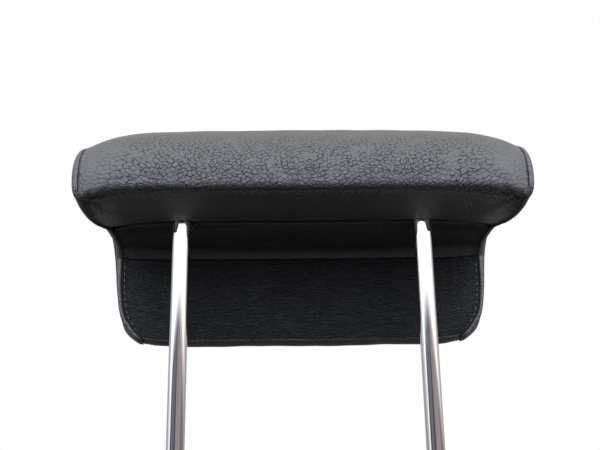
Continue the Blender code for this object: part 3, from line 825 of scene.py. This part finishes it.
def notch(side, up):
    """A latch notch's cutter: a flat shelf on top and a ramp below it, on the post's outer side."""
    outer = POST_X + POST_RADIUS
    outline = ((outer + MM, up), (outer - NOTCH_DEPTH, up), (outer - NOTCH_DEPTH, up - NOTCH_HEIGHT / 2))
    outline += ((outer + MM, up - NOTCH_HEIGHT),)
    half = POST_RADIUS + MM
    made = bmesh.new()
    ends = [[made.verts.new((side * x, y, z)) for x, z in outline] for y in (-half, half)]
    made.faces.new(ends[0])
    made.faces.new(ends[1])
    for i in range(len(outline)):
        j = (i + 1) % len(outline)
        made.faces.new((ends[0][i], ends[0][j], ends[1][j], ends[1][i]))
    bmesh.ops.recalc_face_normals(made, faces=made.faces)
    return new_cutter(made)


def build_posts():
    posts = welded_object("posts_chromed", bent_bar("posts", POST_RADIUS))
    ups = [(1, up) for up in LEFT_NOTCHES] + [(-1, up) for up in RIGHT_NOTCHES]
    cut_away(posts, [notch(side, up) for side, up in ups])
    posts.data.shade_smooth()
    posts.data.set_sharp_from_angle(angle=math.radians(28))
    posts.data.materials.append(chrome())
    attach(posts, "root")
    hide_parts("post_frame")


def build_foam(points, faces):
    """The moulded foam: the cover's own shape, drawn in, and hollowed for the carrier and the flaps."""
    foam = welded_object("foam_moulded", new_mesh("foam", points, faces))
    normals = np.array([v.normal for v in foam.data.vertices])
    inset = points_of(foam.data) - normals * FOAM_INSET
    foam.data.vertices.foreach_set("co", inset.astype(np.float32).reshape(-1))
    even = foam.modifiers.new("even", "REMESH")
    even.mode = "VOXEL"
    even.voxel_size = FOAM_VOXEL
    low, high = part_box("carrier_shell_front")[0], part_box("carrier_shell_rear")[1]
    spare = Vector((1, 1, 1)) * MM
    cavity = block(low - spare, high + spare)
    mouth = block(
        (low.x - 12 * MM, -MOUTH_HALF, UNDERSIDE - 20 * MM),
        (high.x + 12 * MM, MOUTH_HALF, low.z + 2 * MM),
    )
    cut_away(foam, [cavity, mouth])
    foam.data.shade_smooth()
    foam.data.set_sharp_from_angle(angle=math.radians(50))
    foam.data.materials.append(foam_finish())
    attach(foam, "root")
    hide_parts("foam_pad")


# ---------------------------------------------------------------- the cover


def side_panel(name, points, faces, rim, side, material):
    """Refines a simulated side panel, brings its rim back to the seam, and rolls it in."""
    coarse = add_object(name, new_mesh(name, points, faces))
    finer = coarse.modifiers.new("finer", "SUBSURF")
    finer.levels = finer.render_levels = 2
    made = bpy.data.meshes.new_from_object(evaluated(coarse))
    bpy.data.objects.remove(coarse)
    fine = points_of(made)
    fine_faces = [list(p.vertices) for p in made.polygons]
    bpy.data.meshes.remove(made)

    closed = np.concatenate([rim[-2:], rim, rim[:3]])
    loop = cubic(closed, np.linspace(2, len(rim) + 2, len(rim) * 8, endpoint=False))
    along = np.roll(loop, -1, axis=0) - np.roll(loop, 1, axis=0)
    outward = unit(np.stack([along[:, 1] * 0, along[:, 2], -along[:, 1]], axis=1))
    edges = [(face[i - 1], face[i]) for face in fine_faces for i in range(len(face))]
    edges, uses = np.unique(np.sort(edges, axis=1), axis=0, return_counts=True)
    open_edge = fine[np.unique(edges[uses == 1])]
    shift = loop[np.linalg.norm(open_edge[:, None] - loop, axis=2).argmin(1)] - open_edge
    to_edge = np.linalg.norm(fine[:, None] - open_edge, axis=2)
    fade = np.exp(-((to_edge.min(1, keepdims=True) / SHIFT_REACH) ** 2))
    fine = fine + shift[to_edge.argmin(1)] * fade
    gap = np.hypot(fine[:, 1, None] - loop[:, 1], fine[:, 2, None] - loop[:, 2])
    nearest, distance = gap.argmin(1), gap.min(1)
    inside_roll = np.maximum(SIDE_ROLL - distance, 0.0)
    depth = SIDE_ROLL - np.sqrt(SIDE_ROLL**2 - inside_roll**2)
    near = 1 - smooth_step(0, 2.5 * SIDE_ROLL, distance)
    straight = np.zeros_like(fine)
    straight[:, 0] = side
    direction = unit(straight + near[:, None] * outward[nearest])
    placed = fine - direction * depth[:, None]
    border = np.clip(distance / BORDER, 0, 1)
    placed[:, 0] += side * SEAM_INSET * np.sqrt(1 - (1 - border) ** 2)
    relief = 0.25 + 0.45 * smooth_step(2 * MM, 22 * MM, distance)
    grain = np.stack([fine[:, 1], fine[:, 2], np.zeros(len(fine))], axis=1) / MM
    return finish_skin(name, placed, fine_faces, grain, relief, material)


def puckers(panel):
    """Small ripples along the seams, where the stitching draws the leather in."""
    from_end = np.minimum(panel.u, panel.length - panel.u)
    along_u = waves(panel.u, 0 * panel.v, (0.005, 0.008, 0.013), PUCKER)
    along_v = waves(0 * panel.u, panel.v, (0.006, 0.009, 0.015), PUCKER)
    return along_u * np.exp(-panel.from_side / PUCKER_REACH) + along_v * np.exp(-from_end / PUCKER_REACH)


def gathered_ends(panel, corner_u):
    """The fullness by each end of the back seam, with folds that fan out from its corner."""
    total = np.zeros_like(panel.u)
    for side in (-1, 1):
        across = panel.width / 2 - side * panel.v
        from_corner = np.hypot(across - 3 * MM, panel.u - corner_u)
        turn = np.arctan2(panel.u - corner_u, across - 3 * MM)
        fade = np.exp(-from_corner / GATHER_REACH)
        spread = waves(across, panel.u, (0.011, 0.017), 0.6)
        total += GATHER * fade * np.sin(FOLDS * turn + spread + side) * smooth_step(0, 4 * MM, across)
        if corner_u > 0:  # the flap, which is also full between its two edges
            middle = np.sin(math.pi * np.clip(panel.u / panel.length, 0, 1)) ** 0.6
            total += BELLY * middle * np.exp(-(((across - 13 * MM) / (10 * MM)) ** 2))
    return total


def grain_depth(name, panel):
    """How deep the grain is over a panel. The hide is stretched smooth over the cushion's top back edge."""
    if name == "main":
        stretched = np.exp(-(((panel.u - STRETCHED_AT) / STRETCHED_REACH) ** 2))
        return 0.25 + (0.8 - 0.65 * stretched) * smooth_step(0, EDGE_FADE, panel.from_side)
    if name == "underside_rear":
        return 0.4 + 0.6 * np.exp(-((panel.from_side / EDGE_FADE) ** 2))
    return 0.3 + 0.25 * smooth_step(10 * MM, 60 * MM, panel.from_side)


def build_cover():
    """The six leather panels and their stitches, and the foam that has the same shape."""
    belts = {
        "underside_rear": belt_grid(UNDERSIDE_REAR),
        "main": belt_grid(MAIN),
        "lip_back": belt_grid(LIP_BACK),
        "underside_front": belt_grid(UNDERSIDE_FRONT),
    }
    rims = {side: side_outline(belts, side) for side in (1, -1)}
    sides = {side: (*side_mesh(rims[side], side), len(rims[side])) for side in (1, -1)}
    points, faces, seam, places = sewn_skin(belts, sides)
    build_foam(points, faces)
    points = blow_up(points, faces, seam)
    grids = {name: points[places[name]].reshape(grid.shape) for name, grid in belts.items()}

    rolls = {
        "underside_rear": (2.3 * MM, 1.9 * MM),
        "main": (1.9 * MM, 0.7 * MM),
        "lip_back": (0.7 * MM, 0.8 * MM),
        "underside_front": (0.8 * MM, 1.9 * MM),
    }
    panels = {name: Belt(grid, rolls[name], SIDE_ROLL) for name, grid in grids.items()}
    panels["underside_rear"].open_slit(1, panels["underside_rear"].u)
    front = panels["underside_front"]
    front.open_slit(-1, front.length - front.u)
    order = list(panels)
    for i, name in enumerate(order):
        before, after = panels[order[i - 1]], panels[order[(i + 1) % len(order)]]
        panel = panels[name]
        first = unit(panel.normals[0] + before.normals[-1])[None]
        last = unit(panel.normals[-1] + after.normals[0])[None]
        panel.share_edges(first, last, SHARED_REACH)

    # one leather on every panel, with colour and specular level set per panel as painted light: the lip's
    # back is darker and duller as painted shade, the undersides are darker as painted shade, and the gathered
    # rear flap gets a stronger painted sheen
    rough_hide = leather("leather_pebbled", cell=(2.5, 2.25), turn=0.5, shine=0.55)
    shaded_drawn_hide = leather("leather_stretched_shaded", cell=(5.2, 1.5), depth=0.7, shine=0.11, painted_shade_scale=0.45)
    sheened_soft_hide = leather("leather_gathered_sheened", cell=(2.2, 1.8), turn=0.9, depth=0.55, shine=0.8, painted_shade_scale=0.8)
    shaded_flat_hide = leather("leather_flat_shaded", cell=(3.0, 2.0), depth=0.2, shine=0.35, painted_shade_scale=0.7)
    hides = {
        "main": rough_hide,
        "lip_back": shaded_drawn_hide,
        "underside_rear": sheened_soft_hide,
        "underside_front": shaded_flat_hide,
    }
    made = {}
    for name, panel in panels.items():
        uneven = waves(panel.u, panel.v, (0.024, 0.05, 0.09), UNEVENNESS)
        panel.raised += uneven * smooth_step(0, 12 * MM, panel.from_side)
        panel.raised += puckers(panel)
        if name == "underside_rear":
            panel.raised += gathered_ends(panel, panel.length)
        if name == "main":
            panel.raised += 0.5 * gathered_ends(panel, 0.0)
            panel.raised += EDGE_FULLNESS * np.exp(-(((panel.u - 6 * MM) / (2.6 * MM)) ** 2))
        made[name] = finish_belt(f"leather_{name}", panel, grain_depth(name, panel), hides[name])
    nylon = thread()
    main, rear, lip = panels["main"], panels["underside_rear"], panels["lip_back"]
    stitches("stitches_back_seam", [row_near_end(rear, rear.length - BACK_STITCHES)], nylon)
    stitches("stitches_side_seams", [row_near_side(main, side, SIDE_STITCHES) for side in (-1, 1)], nylon)
    stitches("stitches_lip_sides", [row_near_side(lip, side, LIP_STITCHES) for side in (-1, 1)], nylon)
    for side, word in ((1, "left"), (-1, "right")):
        side_points, side_faces = points[places[side]], sides[side][1]
        made[word] = side_panel(f"leather_side_{word}", side_points, side_faces, rims[side], side, rough_hide)

    nodes = {
        "main": "cover_main_panel",
        "lip_back": "cover_lip_back",
        "underside_rear": "cover_underside_rear",
        "underside_front": "cover_underside_front",
        "left": "cover_side_left",
        "right": "cover_side_right",
    }
    for name, cad_node in nodes.items():
        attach(made[name], "root")
        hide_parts(cad_node)


# ---------------------------------------------------------------- studio


def world():
    """Plain white to the camera.

    What lights the object is a pale room with a soft box overhead. It is dark low down at the back, and
    lighter at the low sides and in front.
    """
    made = bpy.data.worlds.new("studio")
    bpy.context.scene.world = made
    made.use_nodes = True
    tree = made.node_tree
    background = tree.nodes["Background"]
    place = node(tree, "ShaderNodeTexCoord")
    split = node(tree, "ShaderNodeSeparateXYZ")
    tree.links.new(place.outputs["Generated"], split.inputs[0])
    x, y, z = (split.outputs[k] for k in "XYZ")
    sideways = math_node(tree, "ABSOLUTE", x)
    haze = node(tree, "ShaderNodeTexNoise", Scale=3.5, Detail=4.0)
    tree.links.new(place.outputs["Generated"], haze.inputs["Vector"])

    # below eye level: dark at the back, light at the left, in front and at the low sides
    to_side = ramp(tree, x, 0.84, 0.96)
    to_front = ramp(tree, y, -0.65, -0.2, 1.0, 0.0)
    open_side = math_node(tree, "MAXIMUM", to_side, to_front)
    open_side = math_node(tree, "MULTIPLY", open_side, ramp(tree, z, -0.65, -0.35))
    low = ramp(tree, z, -0.65, -0.45, 1.0, 0.0)
    low_side = math_node(tree, "MULTIPLY", ramp(tree, sideways, 0.35, 0.65), low)
    open_side = math_node(tree, "MAXIMUM", open_side, low_side)
    dark = ramp(tree, haze.outputs["Fac"], 0.40, 0.60, 0.02, 0.10)
    dark = math_node(tree, "ADD", dark, ramp(tree, x, -0.35, 0.05, 0.13, 0.0))
    shade = math_node(tree, "MULTIPLY_ADD", open_side, 0.9, dark)

    # the pale room, the soft box overhead, and all of it brighter towards the back
    room = ramp(tree, z, 0.02, 0.17, 1.1, 1.0)
    room = blend(tree, ramp(tree, z, -0.17, -0.09), shade, room)
    rise = math_node(tree, "MULTIPLY_ADD", sideways, 0.3, z)
    rise = math_node(tree, "MULTIPLY_ADD", y, 0.3, rise)
    overhead = ramp(tree, rise, 0.39, 0.50)
    level = blend(tree, overhead, room, OVERHEAD)
    level = math_node(tree, "MULTIPLY", level, ramp(tree, y, -0.6, 0.9, 0.36, 2.0))
    level = math_node(tree, "MULTIPLY", level, ramp(tree, haze.outputs["Fac"], 0.35, 0.65, 0.88, 1.08))

    # cool at the left and overhead, warm at the low right and in front
    low_tint = mix_colour(tree, ramp(tree, x, -0.5, 0.2), (1.0, 0.79, 0.74), (0.86, 0.92, 1.0))
    high_tint = mix_colour(tree, ramp(tree, z, 0.6, 0.98), (0.86, 0.93, 1.08), (0.97, 0.98, 1.03))
    tint = mix_colour(tree, overhead, low_tint, high_tint)
    tint = mix_colour(tree, ramp(tree, y, 0.1, 0.6), (1.0, 0.98, 0.96), tint)
    seen = node(tree, "ShaderNodeLightPath").outputs["Is Camera Ray"]
    tree.links.new(mix_colour(tree, seen, tint, (1.0, 1.0, 1.0)), background.inputs["Color"])
    tree.links.new(blend(tree, seen, level, 1.0), background.inputs["Strength"])


def floor():
    """A pale floor at the post tips. It catches shadows, and leaves the light on the object to the world."""
    bpy.ops.mesh.primitive_plane_add(size=40.0, location=(0, 0, 0))
    ground = bpy.context.active_object
    ground.name = "floor"
    ground.visible_diffuse = ground.visible_glossy = ground.visible_shadow = False
    material, tree, shader = new_material("floor_pale")
    place = node(tree, "ShaderNodeTexCoord")
    noise = node(tree, "ShaderNodeTexNoise", Scale=40.0, Detail=3.0)
    tree.links.new(place.outputs["Object"], noise.inputs["Vector"])
    colour = mix_colour(tree, noise.outputs["Fac"], (0.44, 0.44, 0.44), (0.46, 0.46, 0.46))
    tree.links.new(colour, shader.inputs["Base Color"])
    shader.inputs["Roughness"].default_value = 0.6
    ground.data.materials.append(material)


def camera():
    """Behind the cushion and below it, looking up at its underside."""
    pitch, yaw, roll = (math.radians(a) for a in CAMERA_TURN)
    ahead = Vector((math.sin(yaw) * math.cos(pitch), -math.cos(yaw) * math.cos(pitch), math.sin(pitch)))
    right = Vector((-math.cos(yaw), -math.sin(yaw), 0.0))
    above = right.cross(ahead)
    right, above = (
        right * math.cos(roll) + above * math.sin(roll),
        above * math.cos(roll) - right * math.sin(roll),
    )
    data = bpy.data.cameras.new("camera")
    data.lens = LENS
    data.clip_start = 0.01
    made = add_object("camera", data)
    turn = Matrix((right, above, -ahead)).transposed()
    made.matrix_world = Matrix.Translation(CAMERA_PLACE) @ turn.to_4x4()
    bpy.context.scene.camera = made


camera()
world()
floor()
finish_frame_nodes()
build_cover()
build_posts()
bpy.context.scene.view_settings.view_transform = "Standard"
